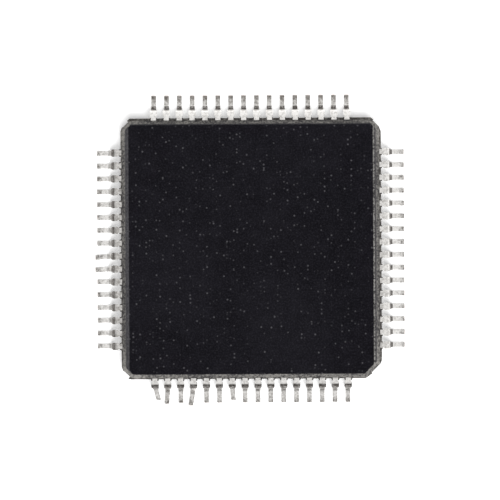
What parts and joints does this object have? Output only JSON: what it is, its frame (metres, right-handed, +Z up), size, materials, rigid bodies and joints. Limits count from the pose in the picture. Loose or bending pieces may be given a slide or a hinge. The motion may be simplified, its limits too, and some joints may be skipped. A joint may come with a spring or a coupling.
{
  "type": "quad flat pack chip",
  "caption": "Square surface-mount chip: thin black moulded body with drafted sides and a row of fine gull-wing leads along every side, a few of them bent.",
  "frame": {"origin": "centre of the body on the seating plane, at the level of the undersides of the feet", "axes": "+Z up, out of the circuit board, towards the plain top face; +Y towards the row of the last pins; pin one is the lead of the -X row nearest the +Y row, and the pins run anticlockwise seen from above"},
  "size_m": [0.012, 0.0121, 0.0015],
  "materials": {
    "mould_compound": "matte",
    "lead_plating": "satin",
    "paddle_plating": "satin",
    "silver_epoxy": "satin",
    "silicon": "polished",
    "gold_wire": "polished"
  },
  "bodies": {
    "root": {"mould_body": "mould_compound", "die_paddle": "paddle_plating", "die_attach": "silver_epoxy", "silicon_die": "silicon", "bond_wires_left": "gold_wire", "bond_wires_bottom": "gold_wire", "bond_wires_right": "gold_wire", "bond_wires_top": "gold_wire", "leads_01_02": "lead_plating", "leads_03_04": "lead_plating", "leads_05_06": "lead_plating", "leads_07_08": "lead_plating", "leads_09_10": "lead_plating", "leads_11_12": "lead_plating", "leads_13_14": "lead_plating", "leads_15_16": "lead_plating", "leads_17_18": "lead_plating", "leads_19_20": "lead_plating", "leads_21_22": "lead_plating", "leads_23_24": "lead_plating", "leads_25_26": "lead_plating", "leads_27_28": "lead_plating", "leads_29_30": "lead_plating", "leads_31_32": "lead_plating", "leads_33_34": "lead_plating", "leads_35_36": "lead_plating", "leads_37_38": "lead_plating", "leads_39_40": "lead_plating", "leads_41_42": "lead_plating", "leads_43_44": "lead_plating", "leads_45_46": "lead_plating", "leads_47_48": "lead_plating", "leads_49_50": "lead_plating", "leads_51_52": "lead_plating", "leads_53_54": "lead_plating", "leads_55_56": "lead_plating", "leads_57_58": "lead_plating", "leads_59_60": "lead_plating", "leads_61_62": "lead_plating", "leads_63_64": "lead_plating"}
  },
  "joints": []
}
